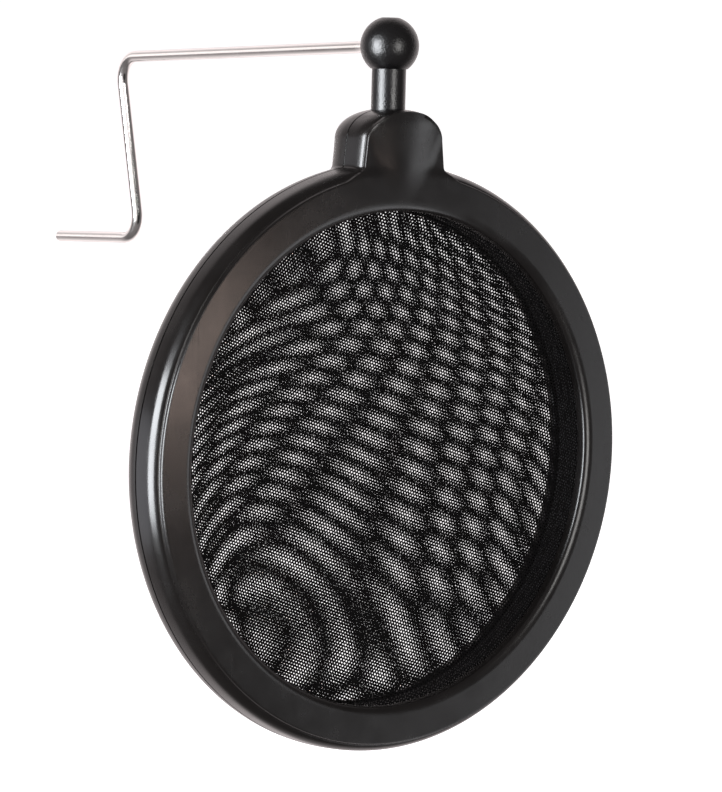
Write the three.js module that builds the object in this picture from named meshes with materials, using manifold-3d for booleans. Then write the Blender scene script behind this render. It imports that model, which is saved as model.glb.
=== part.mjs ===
// Pop filter: a double-layer screen in a two-shell ring, turning on a short stem under a ball,
// held by a bent steel rod. Millimetres, +Z up, front of the screen towards -Y, rod towards +Y.
// Everything is drawn round the centre of the ring, on the plane where the two shells meet,
// and the whole assembly is then moved so that the origin is the end face of the rod's tail.
import * as THREE from 'three';
import { mergeVertices } from 'three/addons/utils/BufferGeometryUtils.js';
import loadManifold from 'manifold-3d';

const manifold = await loadManifold();
manifold.setup();

// ---- driving dimensions ----
const RING_RADIUS = 77.5; // outside of the ring at the parting line
const BORE_RADIUS = 65.1; // opening through each shell
const HALF_DEPTH = 8; // parting plane to the flat face of one shell
const PARTING_GAP = 0.15; // half of the fine groove between the shells
const FIT_GAP = 0.3; // clearance between pieces that meet
const RING_SEGMENTS = 64;

const LEDGE_DEPTH = 3.4; // from the face to the ledge the cloth lies on
const SEAT_RADIUS = 69.8; // inside of the rib that centres cloth, hoops and spacer
const RIB_THICKNESS = 1.2;
const RIB_DEPTH = 7;
const WALL = 2;

const CLOTH_THICKNESS = 0.3;
const CLOTH_RADIUS = 69.4;
const HOOP_INNER_RADIUS = 65.7;
const HOOP_HEIGHT = 2.3;
const SPACER_HEIGHT = 2.4;

const TAB_TOP = 91.6; // above the ring's centre
const TAB_SHOULDER = 84;
const TAB_BASE = 70.5;
const TAB_HALF_WIDTH_BASE = 14.8;
const TAB_HALF_WIDTH_SHOULDER = 13.35;
const TAB_SHOULDER_HANDLE = [12.9, 88.4]; // X and Z of the arch's handles
const TAB_ARCH_HANDLE = [7.5, TAB_TOP];
const TAB_FACE_SETBACK = 0.2;
const TAB_EDGE_INSET = 1.2;
const TAB_EDGE_DEPTH = 2.5;
const CROWN_RADIUS = 56; // bulge of the tab's face round the stem
const CROWN_RISE = 1.3;
const CROWN_TOP = 88;
const CROWN_FOOT = 71.6;

const BALL_RADIUS = 7.7;
const BALL_HEIGHT = 107.9; // ball centre above the ring's centre
const BALL_TOP_FLAT = 7.45;
const BALL_SEAT = 6;
const STEM_RADIUS = 4.5;
const SPIGOT_RADIUS = 2.6;
const SPIGOT_LENGTH = 2.6;

const ROD_RADIUS = 1.6;
const RIDGE_RADIUS = 1.85;
const RIDGE_PITCH = 1.4;
const RIDGE_COUNT = 5;
const ROD_START = 3.5; // end of the rod inside the ball, from the ball's centre
const BEND_RADIUS = 8;
const ARM_LENGTH = 125.1; // ball centre to the corner of the first bend
const DROP_LENGTH = 52.3; // corner to corner
const TAIL_LENGTH = 41.9; // corner of the second bend to the rod's end
const ARM_PITCH = THREE.MathUtils.degToRad(-1.96); // the arm falls away to the rear
const DROP_ROLL = THREE.MathUtils.degToRad(7.67); // the drop leans to +X

const SCREW_CIRCLE = 72.4;
const SCREW_SHANK = 1.1;
const SCREW_HEAD = 1.8;
const SCREW_HEAD_HEIGHT = 1.5;
const SCREW_RECESS = 1.4;
const SCREW_REACH = 4; // past the parting plane
const BOSS_RADIUS = 2.6;
const BOSS_DEPTH = 1.9; // behind the face, just inside the wall
const TAB_SCREW_X = 10;
const TAB_SCREW_Z = 76.5;
const RING_SCREW_ANGLES = [270, 330, 30, 150, 210];

// ---- solids and meshes ----
function solid(geometry) {
  const bare = geometry.index ? geometry.toNonIndexed() : geometry.clone();
  bare.deleteAttribute('normal');
  bare.deleteAttribute('uv');
  const welded = mergeVertices(bare, 1e-4);
  return new manifold.Manifold(
    new manifold.Mesh({
      numProp: 3,
      vertProperties: new Float32Array(welded.attributes.position.array),
      triVerts: new Uint32Array(welded.index.array),
    }),
  );
}

function geometryOf(body) {
  const mesh = body.getMesh();
  const geometry = new THREE.BufferGeometry();
  const position = new THREE.BufferAttribute(new Float32Array(mesh.vertProperties), mesh.numProp);
  geometry.setAttribute('position', position);
  geometry.setIndex(new THREE.BufferAttribute(new Uint32Array(mesh.triVerts), 1));
  const faceted = geometry.toNonIndexed();
  faceted.computeVertexNormals();
  return faceted;
}

// A profile of [radius, height] pairs turned about the Y axis, whichever way round it is listed.
function turned(profile, segments) {
  let area = 0;
  profile.forEach(([r, h], i) => {
    const [nextR, nextH] = profile[(i + 1) % profile.length];
    area += r * nextH - nextR * h;
  });
  const ordered = area > 0 ? [...profile] : [...profile].reverse();
  const onAxis = ordered.filter(([r]) => r === 0).length;
  if (onAxis === 0) {
    ordered.push(ordered[0]);
  } else {
    // start the open profile at the axis point whose successor is off the axis
    while (!(ordered[0][0] === 0 && ordered[1][0] > 0)) {
      ordered.push(ordered.shift());
    }
  }
  const points = ordered.map(([r, h]) => new THREE.Vector2(r, h));
  return new THREE.LatheGeometry(points, segments);
}

const turnedAboutY = (profile, segments) => turned(profile, segments);
const turnedAboutZ = (profile, segments) => turned(profile, segments).rotateX(Math.PI / 2);

const rod = (radius, from, to, segments) =>
  turnedAboutY([[0, from], [radius, from], [radius, to], [0, to]], segments);
const post = (radius, from, to, segments) =>
  turnedAboutZ([[0, from], [radius, from], [radius, to], [0, to]], segments);
const bandAboutY = (inner, outer, from, to) =>
  turnedAboutY([[inner, from], [outer, from], [outer, to], [inner, to]], RING_SEGMENTS);

function block(sizeX, sizeY, sizeZ, x, y, z) {
  return new THREE.BoxGeometry(sizeX, sizeY, sizeZ).translate(x, y, z);
}

const polar = (radius, degrees) => {
  const angle = THREE.MathUtils.degToRad(degrees);
  return [radius * Math.cos(angle), radius * Math.sin(angle)];
};

// ---- the shells: the front one tightly rounded, the rear one softer ----
// [inset from the ring's radius, depth behind the face] from the parting plane to the flat face
const FRONT_SHOULDER = [
  [0, HALF_DEPTH - PARTING_GAP],
  [0.08, 6.2],
  [0.2, 4.6],
  [0.6, 2.9],
  [1.3, 1.75],
  [2.1, 1.08],
  [2.32, 1.05],
  [2.62, 0.35],
  [3.2, 0],
];
const REAR_SHOULDER = [
  [0, HALF_DEPTH - PARTING_GAP],
  [0.1, 6.2],
  [0.35, 5],
  [0.95, 3.6],
  [1.75, 2.4],
  [2.8, 1.3],
  [4, 0.5],
  [5.4, 0.1],
  [7, 0],
];
// [radius, depth behind the face]: lip, ledge, rib, channel
const INSIDE = [
  [BORE_RADIUS + 2.3, 0],
  [BORE_RADIUS + 1.5, 0.12],
  [BORE_RADIUS + 0.7, 0.45],
  [BORE_RADIUS + 0.2, 0.9],
  [BORE_RADIUS, 1.4],
  [BORE_RADIUS, LEDGE_DEPTH],
  [SEAT_RADIUS, LEDGE_DEPTH],
  [SEAT_RADIUS, RIB_DEPTH],
  [SEAT_RADIUS + RIB_THICKNESS, RIB_DEPTH],
  [SEAT_RADIUS + RIB_THICKNESS, WALL],
  [RING_RADIUS - 3.2, WALL],
  [RING_RADIUS - 1.9, HALF_DEPTH - PARTING_GAP],
];

// Outline of the tab in X and Z: straight sides, and an arch from one shoulder to the other.
function tabOutline() {
  const shape = new THREE.Shape();
  const [shoulderX, shoulderZ] = TAB_SHOULDER_HANDLE;
  const [archX, archZ] = TAB_ARCH_HANDLE;
  shape.moveTo(-TAB_HALF_WIDTH_BASE, TAB_BASE);
  shape.lineTo(TAB_HALF_WIDTH_BASE, TAB_BASE);
  shape.lineTo(TAB_HALF_WIDTH_SHOULDER, TAB_SHOULDER);
  shape.bezierCurveTo(shoulderX, shoulderZ, archX, archZ, 0, TAB_TOP);
  shape.bezierCurveTo(-archX, archZ, -shoulderX, shoulderZ, -TAB_HALF_WIDTH_SHOULDER, TAB_SHOULDER);
  shape.closePath();
  return shape;
}

// The tab with its eased front and rear edges, then the part of its bulge that stands out.
function tabSolid() {
  const straight = 2 * (HALF_DEPTH - TAB_FACE_SETBACK - TAB_EDGE_DEPTH);
  const body = new THREE.ExtrudeGeometry(tabOutline(), {
    depth: straight,
    curveSegments: 6,
    bevelEnabled: true,
    bevelThickness: TAB_EDGE_DEPTH,
    bevelSize: TAB_EDGE_INSET,
    bevelOffset: -TAB_EDGE_INSET,
    bevelSegments: 3,
  });
  body.translate(0, 0, -straight / 2).rotateX(Math.PI / 2);
  const nose = new THREE.ExtrudeGeometry(tabOutline(), {
    depth: CROWN_RISE + 2,
    curveSegments: 6,
    bevelEnabled: true,
    bevelThickness: 0.2,
    bevelSize: 0.01,
    bevelOffset: -TAB_EDGE_INSET - 0.02,
    bevelSegments: 1,
  });
  nose.translate(0, 0, HALF_DEPTH - 2).rotateX(Math.PI / 2);
  const drum = new THREE.CylinderGeometry(CROWN_RADIUS, CROWN_RADIUS, 80, 144);
  drum.rotateX(Math.PI / 2);
  drum.rotateX(Math.atan2(CROWN_RISE, CROWN_TOP - CROWN_FOOT));
  drum.translate(0, CROWN_RADIUS - HALF_DEPTH, CROWN_FOOT);
  return solid(body).add(solid(nose).intersect(solid(drum)));
}

// Round pocket for the stem's foot, its washers and its seal, about the stem's axis.
const NECK_BORE = STEM_RADIUS + FIT_GAP;
const POCKET_RADIUS = 6.6;
const POCKET_TOP = 85;
const POCKET_FLOOR = 80.2;
const WELL_RADIUS = 2.6;
const WELL_FLOOR = 78.9;
const stemPocket = solid(
  turnedAboutZ(
    [
      [0, WELL_FLOOR],
      [WELL_RADIUS, WELL_FLOOR],
      [WELL_RADIUS, POCKET_FLOOR],
      [POCKET_RADIUS, POCKET_FLOOR],
      [POCKET_RADIUS, POCKET_TOP],
      [NECK_BORE, POCKET_TOP],
      [NECK_BORE, TAB_TOP + 3],
      [0, TAB_TOP + 3],
    ],
    28,
  ),
);

const screwPlaces = [
  ['tab_screw_left', [-TAB_SCREW_X, TAB_SCREW_Z]],
  ['tab_screw_right', [TAB_SCREW_X, TAB_SCREW_Z]],
  ...RING_SCREW_ANGLES.map((angle, i) => [`ring_screw_${i + 1}`, polar(SCREW_CIRCLE, angle)]),
];

// One shell with its face towards -Y, before its screw holes.
function shellBlank(shoulder) {
  const outside = shoulder.map(([inset, depth]) => [RING_RADIUS - inset, depth]);
  const section = [...outside, ...INSIDE].map(([r, depth]) => [r, depth - HALF_DEPTH]);
  let body = solid(turnedAboutY(section, RING_SEGMENTS)).add(tabSolid());
  for (const angle of RING_SCREW_ANGLES) {
    const [x, z] = polar(SCREW_CIRCLE, angle);
    const boss = rod(BOSS_RADIUS, BOSS_DEPTH - HALF_DEPTH, -PARTING_GAP, 16).translate(x, 0, z);
    body = body.add(solid(boss));
  }
  const behind = block(200, 40, 220, 0, 20 - PARTING_GAP, 0);
  return body.subtract(solid(behind)).subtract(stemPocket);
}

const HOLE = SCREW_SHANK + FIT_GAP;
const HEAD_TOP = HALF_DEPTH - SCREW_RECESS;
const HEAD_FLOOR = HEAD_TOP - SCREW_HEAD_HEIGHT;

let frontShell = shellBlank(FRONT_SHOULDER);
let rearShell = shellBlank(REAR_SHOULDER).mirror([0, 1, 0]);
for (const [, [x, z]] of screwPlaces) {
  const pilot = rod(HOLE, -SCREW_REACH - FIT_GAP, 1, 12).translate(x, 0, z);
  frontShell = frontShell.subtract(solid(pilot));
  const stepped = turnedAboutY(
    [
      [0, -1],
      [HOLE, -1],
      [HOLE, HEAD_FLOOR - FIT_GAP],
      [SCREW_HEAD + FIT_GAP, HEAD_FLOOR - FIT_GAP],
      [SCREW_HEAD + FIT_GAP, HALF_DEPTH + 2],
      [0, HALF_DEPTH + 2],
    ],
    12,
  );
  rearShell = rearShell.subtract(solid(stepped.translate(x, 0, z)));
}

// ---- between the shells ----
const clothFront = LEDGE_DEPTH + 0.2 - HALF_DEPTH;
const hoopFront = clothFront + CLOTH_THICKNESS + FIT_GAP;
const cloth = (side) => {
  const near = side * clothFront;
  const far = side * (clothFront + CLOTH_THICKNESS);
  return rod(CLOTH_RADIUS, Math.min(near, far), Math.max(near, far), RING_SEGMENTS);
};
const hoop = (side) => {
  const near = side * hoopFront;
  const far = side * (hoopFront + HOOP_HEIGHT);
  return bandAboutY(HOOP_INNER_RADIUS, CLOTH_RADIUS, Math.min(near, far), Math.max(near, far));
};
const spacer = bandAboutY(
  HOOP_INNER_RADIUS,
  CLOTH_RADIUS,
  -SPACER_HEIGHT / 2,
  SPACER_HEIGHT / 2,
);

// ---- screw along Y, head to the rear ----
const shellScrew = ([x, z]) =>
  turnedAboutY(
    [
      [0, -SCREW_REACH],
      [SCREW_SHANK, -SCREW_REACH],
      [SCREW_SHANK, HEAD_FLOOR],
      [SCREW_HEAD, HEAD_FLOOR],
      [SCREW_HEAD, HEAD_TOP - 0.5],
      [SCREW_HEAD - 0.6, HEAD_TOP],
      [0, HEAD_TOP],
    ],
    12,
  ).translate(x, 0, z);

// ---- stem and what sits round its foot ----
const FLANGE_RADIUS = 6.1;
const FLANGE_BOTTOM = 81.7;
const FLANGE_TOP = 83.6;
const FOOT_RADIUS = 2.2;
const FOOT_BOTTOM = 79.3;
const GROOVE_RADIUS = 3;
const GROOVE_BOTTOM = 86.8;
const GROOVE_TOP = 88.6;
const STEM_TOP = BALL_HEIGHT - BALL_SEAT - FIT_GAP;
const SPIGOT_TOP = STEM_TOP + SPIGOT_LENGTH;
const TAP_RADIUS = 1.5;
const TAP_FLOOR = 94.9;
const stem = turnedAboutZ(
  [
    [0, FOOT_BOTTOM],
    [FOOT_RADIUS, FOOT_BOTTOM],
    [FOOT_RADIUS, FLANGE_BOTTOM],
    [FLANGE_RADIUS, FLANGE_BOTTOM],
    [FLANGE_RADIUS, FLANGE_TOP],
    [STEM_RADIUS, FLANGE_TOP],
    [STEM_RADIUS, GROOVE_BOTTOM],
    [GROOVE_RADIUS, GROOVE_BOTTOM],
    [GROOVE_RADIUS, GROOVE_TOP],
    [STEM_RADIUS, GROOVE_TOP],
    [STEM_RADIUS, STEM_TOP],
    [SPIGOT_RADIUS, STEM_TOP],
    [SPIGOT_RADIUS, SPIGOT_TOP],
    [TAP_RADIUS, SPIGOT_TOP],
    [TAP_RADIUS, TAP_FLOOR],
    [0, TAP_FLOOR],
  ],
  28,
);

const WASHER_RADIUS = 6.2;
const washer = (inner, from, to) =>
  turnedAboutZ([[inner, from], [WASHER_RADIUS, from], [WASHER_RADIUS, to], [inner, to]], 24);
const washerUpper = washer(STEM_RADIUS + FIT_GAP, FLANGE_TOP + FIT_GAP, FLANGE_TOP + 1);
const washerLower = washer(FOOT_RADIUS + FIT_GAP, POCKET_FLOOR + 0.3, FLANGE_BOTTOM - FIT_GAP);

const SEAL_RADIUS = 3.85;
const SEAL_THICKNESS = 0.6;
const seal = new THREE.TorusGeometry(SEAL_RADIUS, SEAL_THICKNESS, 8, 24);
seal.translate(0, 0, (GROOVE_BOTTOM + GROOVE_TOP) / 2);

// ---- rod ----
// Directions: arm and tail run along `along`, the drop runs along `down`.
const ballCentre = new THREE.Vector3(0, 0, BALL_HEIGHT);
const along = new THREE.Vector3(0, Math.cos(ARM_PITCH), Math.sin(ARM_PITCH));
const down = new THREE.Vector3(0, Math.sin(ARM_PITCH), -Math.cos(ARM_PITCH))
  .multiplyScalar(Math.cos(DROP_ROLL))
  .add(new THREE.Vector3(Math.sin(DROP_ROLL), 0, 0));
const firstCorner = ballCentre.clone().addScaledVector(along, ARM_LENGTH);
const secondCorner = firstCorner.clone().addScaledVector(down, DROP_LENGTH);
const tailEnd = secondCorner.clone().addScaledVector(along, TAIL_LENGTH);

// A path through listed points, each with its own tangent, so bends get more rings than arms.
class RodPath extends THREE.Curve {
  constructor(stations) {
    super();
    this.stations = stations;
  }
  station(u) {
    return this.stations[Math.round(u * (this.stations.length - 1))];
  }
  getPoint(u) {
    return this.station(u).point.clone();
  }
  getPointAt(u) {
    return this.getPoint(u);
  }
  getTangent(u) {
    return this.station(u).tangent.clone();
  }
  getTangentAt(u) {
    return this.getTangent(u);
  }
}

// Stations of a right-angle bend of BEND_RADIUS at a corner, from direction `a` to direction `b`.
function bendStations(corner, a, b, steps) {
  const stations = [];
  for (let i = 0; i <= steps; i += 1) {
    const angle = ((Math.PI / 2) * i) / steps;
    const point = corner
      .clone()
      .addScaledVector(a, BEND_RADIUS * (Math.sin(angle) - 1))
      .addScaledVector(b, BEND_RADIUS * (1 - Math.cos(angle)));
    const tangent = a
      .clone()
      .multiplyScalar(Math.cos(angle))
      .addScaledVector(b, Math.sin(angle));
    stations.push({ point, tangent });
  }
  return stations;
}

const BEND_STEPS = 7;
const RIDGES_END = ROD_START + RIDGE_PITCH * RIDGE_COUNT;
const rodPath = new RodPath([
  { point: ballCentre.clone().addScaledVector(along, RIDGES_END - 0.4), tangent: along.clone() },
  ...bendStations(firstCorner, along, down, BEND_STEPS),
  ...bendStations(secondCorner, down, along, BEND_STEPS),
  { point: tailEnd, tangent: along.clone() },
]);

function rodSolid() {
  const section = new THREE.Shape();
  section.absarc(0, 0, ROD_RADIUS, 0, 2 * Math.PI, false);
  const wire = new THREE.ExtrudeGeometry(section, {
    steps: rodPath.stations.length - 1,
    curveSegments: 16,
    bevelEnabled: false,
    extrudePath: rodPath,
  });
  const ridges = [[0, ROD_START], [ROD_RADIUS - 0.1, ROD_START]];
  for (let i = 0; i < RIDGE_COUNT; i += 1) {
    ridges.push([RIDGE_RADIUS, ROD_START + RIDGE_PITCH * (i + 0.35)]);
    ridges.push([RIDGE_RADIUS, ROD_START + RIDGE_PITCH * (i + 0.65)]);
    ridges.push([ROD_RADIUS - 0.1, ROD_START + RIDGE_PITCH * (i + 1)]);
  }
  ridges.push([0, RIDGES_END]);
  return solid(wire).add(solid(alongArm(turnedAboutY(ridges, 16))));
}

// Takes a shape drawn along +Y from the origin and lays it along the rod's arm from the ball.
function alongArm(geometry) {
  return geometry.rotateX(ARM_PITCH).translate(0, 0, BALL_HEIGHT);
}

// ---- ball and what is inside it ----
const INSERT_RADIUS = 3.1;
const INSERT_START = 3.2;
const INSERT_END = 7;
const insert = alongArm(
  turnedAboutY(
    [
      [RIDGE_RADIUS + FIT_GAP, INSERT_START],
      [INSERT_RADIUS, INSERT_START],
      [INSERT_RADIUS, INSERT_END],
      [RIDGE_RADIUS + FIT_GAP, INSERT_END],
    ],
    20,
  ),
);

const BALL_SCREW_HEAD = 1.9;
const BALL_SCREW_HEAD_TOP = 6.9;
const BALL_SCREW_HEAD_FLOOR = 4.9;
const BALL_SCREW_SHANK = 1.2;
const BALL_SCREW_END = 95.5;
const ballScrew = turnedAboutZ(
  [
    [0, BALL_SCREW_END],
    [BALL_SCREW_SHANK, BALL_SCREW_END],
    [BALL_SCREW_SHANK, BALL_HEIGHT + BALL_SCREW_HEAD_FLOOR],
    [BALL_SCREW_HEAD, BALL_HEIGHT + BALL_SCREW_HEAD_FLOOR],
    [BALL_SCREW_HEAD, BALL_HEIGHT + BALL_SCREW_HEAD_TOP],
    [0, BALL_HEIGHT + BALL_SCREW_HEAD_TOP],
  ],
  14,
);

function ballSolid() {
  const sphere = new THREE.SphereGeometry(BALL_RADIUS, 32, 20);
  sphere.rotateX(Math.PI / 2).translate(0, 0, BALL_HEIGHT);
  const above = block(20, 20, 4, 0, 0, BALL_HEIGHT + BALL_TOP_FLAT + 2);
  const below = block(20, 20, 4, 0, 0, BALL_HEIGHT - BALL_SEAT - 2);
  const shaft = turnedAboutZ(
    [
      [0, BALL_HEIGHT - BALL_SEAT - 1],
      [SPIGOT_RADIUS + FIT_GAP, BALL_HEIGHT - BALL_SEAT - 1],
      [SPIGOT_RADIUS + FIT_GAP, SPIGOT_TOP + FIT_GAP],
      [BALL_SCREW_SHANK + FIT_GAP, SPIGOT_TOP + FIT_GAP],
      [BALL_SCREW_SHANK + FIT_GAP, BALL_HEIGHT + BALL_SCREW_HEAD_FLOOR - FIT_GAP],
      [BALL_SCREW_HEAD + FIT_GAP, BALL_HEIGHT + BALL_SCREW_HEAD_FLOOR - FIT_GAP],
      [BALL_SCREW_HEAD + FIT_GAP, BALL_HEIGHT + BALL_RADIUS + 1],
      [0, BALL_HEIGHT + BALL_RADIUS + 1],
    ],
    20,
  );
  const mouth = alongArm(
    rod(INSERT_RADIUS + FIT_GAP, INSERT_START - FIT_GAP, BALL_RADIUS + 2, 20),
  );
  return solid(sphere)
    .subtract(solid(above))
    .subtract(solid(below))
    .subtract(solid(shaft))
    .subtract(solid(mouth));
}

// ---- materials: one per piece ----
const finishes = {
  satinBlack: { color: 0x1d1b1a, roughness: 0.42, metalness: 0 },
  glossBlack: { color: 0x141416, roughness: 0.22, metalness: 0 },
  cloth: { color: 0x0c0c0d, roughness: 0.9, metalness: 0 },
  nylon: { color: 0x202022, roughness: 0.6, metalness: 0 },
  steel: { color: 0xc9c7c4, roughness: 0.22, metalness: 1 },
  darkSteel: { color: 0x3a3a3c, roughness: 0.4, metalness: 1 },
  brass: { color: 0xb08d4a, roughness: 0.35, metalness: 1 },
  rubber: { color: 0x111111, roughness: 0.85, metalness: 0 },
  fibre: { color: 0x8c8a80, roughness: 0.7, metalness: 0 },
};

const assembly = new THREE.Group();
assembly.name = 'assembly';
function place(name, geometry, finish) {
  const mesh = new THREE.Mesh(geometry, new THREE.MeshStandardMaterial(finishes[finish]));
  mesh.name = name;
  assembly.add(mesh);
}

place('rod', geometryOf(rodSolid()), 'steel');
place('ball', geometryOf(ballSolid()), 'satinBlack');
place('ball_insert', insert, 'brass');
place('ball_screw', ballScrew, 'darkSteel');
place('stem', stem, 'glossBlack');
place('washer_upper', washerUpper, 'fibre');
place('washer_lower', washerLower, 'fibre');
place('neck_seal', seal, 'rubber');
place('front_shell', geometryOf(frontShell), 'satinBlack');
place('rear_shell', geometryOf(rearShell), 'satinBlack');
place('front_mesh', cloth(1), 'cloth');
place('rear_mesh', cloth(-1), 'cloth');
place('front_hoop', hoop(1), 'nylon');
place('rear_hoop', hoop(-1), 'nylon');
place('spacer_ring', spacer, 'nylon');
for (const [name, position] of screwPlaces) {
  place(name, shellScrew(position), 'darkSteel');
}

assembly.position.copy(tailEnd).negate();

const part = new THREE.Group();
part.name = 'pop_filter';
part.add(assembly);
export default part;
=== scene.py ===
"""Looks of a pop filter: two cloth layers in a two-shell ring, on a stem under a ball held by a bent rod.

Lengths named in millimetres are measured from the centre of the ring, on the plane where the two
shells meet: X to the right of the screen, Y to its rear, Z up. spot() turns them into the frame's metres.
"""

import math

import bmesh
import bpy
import numpy as np
from mathutils import Matrix, Vector


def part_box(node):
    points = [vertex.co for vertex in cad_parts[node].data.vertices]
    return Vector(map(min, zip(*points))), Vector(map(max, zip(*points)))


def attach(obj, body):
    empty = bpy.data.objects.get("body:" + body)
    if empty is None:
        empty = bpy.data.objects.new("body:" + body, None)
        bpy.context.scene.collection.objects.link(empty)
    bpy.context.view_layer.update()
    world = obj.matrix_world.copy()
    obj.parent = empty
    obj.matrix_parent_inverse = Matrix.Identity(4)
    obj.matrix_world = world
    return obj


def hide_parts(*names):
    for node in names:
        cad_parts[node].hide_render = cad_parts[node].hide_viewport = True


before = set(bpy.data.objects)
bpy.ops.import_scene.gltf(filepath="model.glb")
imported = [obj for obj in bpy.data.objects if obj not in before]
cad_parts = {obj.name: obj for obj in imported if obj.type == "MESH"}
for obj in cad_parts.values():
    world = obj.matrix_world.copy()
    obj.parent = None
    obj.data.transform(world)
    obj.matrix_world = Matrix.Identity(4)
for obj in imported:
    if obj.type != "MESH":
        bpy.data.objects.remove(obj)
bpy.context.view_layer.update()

MM = 0.001

# ---- the two shells, all in millimetres ----
RING_RADIUS = 77.5
BORE_RADIUS = 65.1
HALF_DEPTH = 8.0
PARTING_GAP = 0.15
LEDGE_DEPTH = 3.4
SEAT_RADIUS = 69.8
RIB_RADIUS = 71.0
RIB_DEPTH = 7.0
WALL = 2.0
FACE_INSET = 2.85
REAR_FACE_INSET = 7.0
LIP_RADIUS = 67.4

TAB_TOP = 91.6
TAB_SHOULDER = 84.0
TAB_BASE = 76.0
TAB_HALF_BASE = 14.2
TAB_HALF_SHOULDER = 13.35
SHOULDER_HANDLE = np.array([12.9, 88.4])
ARCH_HANDLE = np.array([7.5, 91.6])
TAB_FILLET = 0.8
TAB_SIDE_INSET = 0.42
TAB_TOP_INSET = 0.22
REAR_TAB_INSET = 0.45
TAB_SETBACK = 0.2
CROWN_RADIUS = 56.0
CROWN_RISE = 1.3
CROWN_TOP = 88.0
CROWN_FOOT = 71.6
CROWN_BLEND = 0.35

# ---- pocket for the stem's foot ----
WELL_FLOOR = 78.9
WELL_RADIUS = 2.6
POCKET_FLOOR = 80.2
POCKET_RADIUS = 6.6
POCKET_TOP = 85.0
NECK_BORE = 4.8
ABOVE_TAB = 96.0

# ---- cloth and the rings that hold it ----
CLOTH_RADIUS = 69.4
CLOTH_DEPTH = 4.25
HOOP_INNER = 65.7
HOOP_NEAR = 1.5
HOOP_FAR = 3.8
HOOP_BEVEL = 0.2
SPACER_HALF = 1.2
# From a hole to two of its neighbours, as measured on the front net in the photograph.
NET_STEPS = np.array([(0.856, -0.300), (0.597, 0.593)])
HOLE_SHARE = 0.512  # of the way from a hole's centre to where three holes meet
KNIT_WANDER = 0.022  # typical wander of a hole, in millimetres
KNIT_SPREAD = 0.07  # typical difference in size from hole to hole
# How far the rear cloth is pulled off the front one's pattern, in millimetres at PULL_REACH from the
# centre: one (X, Z) pair for each product of powers, from x**n to z**n. The pairs weren't chosen by
# hand: a separate program fitted them to the moire bands of the photograph.
PULL_REACH = 60.0
PULL_END = 66.0  # under the ledge, where the pull stops growing
PULL = [
    [(4.71, -0.92)],
    [(5.38, 0.86), (8.73, -3.04)],
    [(-0.56, 2.04), (-1.87, 2.17), (0.78, -1.32)],
    [(-0.12, 2.76), (2.25, -2.76), (0.85, 1.4), (-2.31, -0.37)],
    [(3.24, -2.53), (2.15, -1.6), (6.0, 1.14), (7.0, 1.29), (1.48, -0.15)],
    [(-0.45, -1.1), (-2.79, 3.47), (-3.55, -3.86), (3.31, -0.21), (3.93, 1.19), (0.84, 1.4)],
]

# ---- stem, ball and rod ----
STEM_RADIUS = 4.5
STEM_TOP = 101.895
FLANGE_RADIUS = 6.1
FLANGE_BOTTOM = 81.7
FLANGE_TOP = 83.6
FOOT_RADIUS = 2.2
FOOT_BOTTOM = 79.3
FOOT_BEVEL = 0.3
GROOVE_RADIUS = 3.0
GROOVE_BOTTOM = 86.8
GROOVE_TOP = 88.6
SPIGOT_RADIUS = 2.6
SPIGOT_TOP = 104.2
TAP_RADIUS = 1.5
TAP_FLOOR = 94.9
BALL_RADIUS = 7.7
BALL_HEIGHT = 107.9
BALL_TOP_FLAT = 7.37
BALL_SEAT = 6.0
SHAFT_RADIUS = 2.9
SHAFT_TOP = -3.1  # from the ball's centre, like the two below
HEAD_SEAT = 4.6
MOUTH_START = 2.9
HEAD_BORE = 2.2
SCREW_BORE = 1.5
MOUTH_RADIUS = 3.4
ROD_RADIUS = 1.6
RIDGE_RADIUS = 1.85
RIDGE_PITCH = 1.4
RIDGE_COUNT = 5
ROD_START = 3.5
THREAD_DEPTH = 0.3
CREST_REACH = 0.42  # of the pitch, from the crest's middle to the root
CREST_STEEPNESS = 1.25
ROD_BEVEL = 0.25
BEND_RADIUS = 8.0
ARM_LENGTH = 125.1
DROP_LENGTH = 52.3
TAIL_LENGTH = 41.9
ARM_PITCH = math.radians(-1.96)
DROP_ROLL = math.radians(7.67)

# ---- screws ----
SHANK_BEVEL = 0.3
SHANK_TAPER = 0.6
HEAD_EDGE = 0.5
HEAD_CROWN = 0.6
SCREW_CIRCLE = 72.4
SCREW_SHANK = 1.1
SCREW_HEAD = 1.8
SCREW_HEAD_TOP = 6.6
SCREW_HEAD_HEIGHT = 1.5
SCREW_TIP = 4.0
RECESS_ARM = 1.0
RECESS_HALF_WIDTH = 0.22
RECESS_DEPTH = 0.7
TAB_SCREW = (10.0, 76.5)
RING_SCREW_ANGLES = (270, 330, 30, 150, 210)
COUNTERBORE_RADIUS = 2.1
COUNTERBORE_FLOOR = 4.8
ABOVE_SHELL = 12.0


def ring_centre():
    """The middle between the two cloth discs of the CAD model, in metres."""
    front_low, front_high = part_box("front_mesh")
    rear_low, rear_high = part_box("rear_mesh")
    return (front_low + front_high + rear_low + rear_high) / 4


RING_CENTRE = ring_centre()


def spot(x, y, z):
    return RING_CENTRE + Vector((x, y, z)) * MM


# ---- mesh helpers ----
def new_object(name, points, faces, crease=35):
    """An object from points in metres, smooth except along edges sharper than crease degrees."""
    mesh = bpy.data.meshes.new(name)
    mesh.from_pydata([tuple(p) for p in points], [], faces)
    mesh.update()
    thing = bpy.data.objects.new(name, mesh)
    bpy.context.scene.collection.objects.link(thing)
    soften(thing, crease)
    return thing


def soften(thing, crease):
    mesh = thing.data
    mesh.polygons.foreach_set("use_smooth", [True] * len(mesh.polygons))
    mesh.set_sharp_from_angle(angle=math.radians(crease))


def face_outward(thing):
    work = bmesh.new()
    work.from_mesh(thing.data)
    bmesh.ops.recalc_face_normals(work, faces=work.faces)
    work.to_mesh(thing.data)
    work.free()


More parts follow.
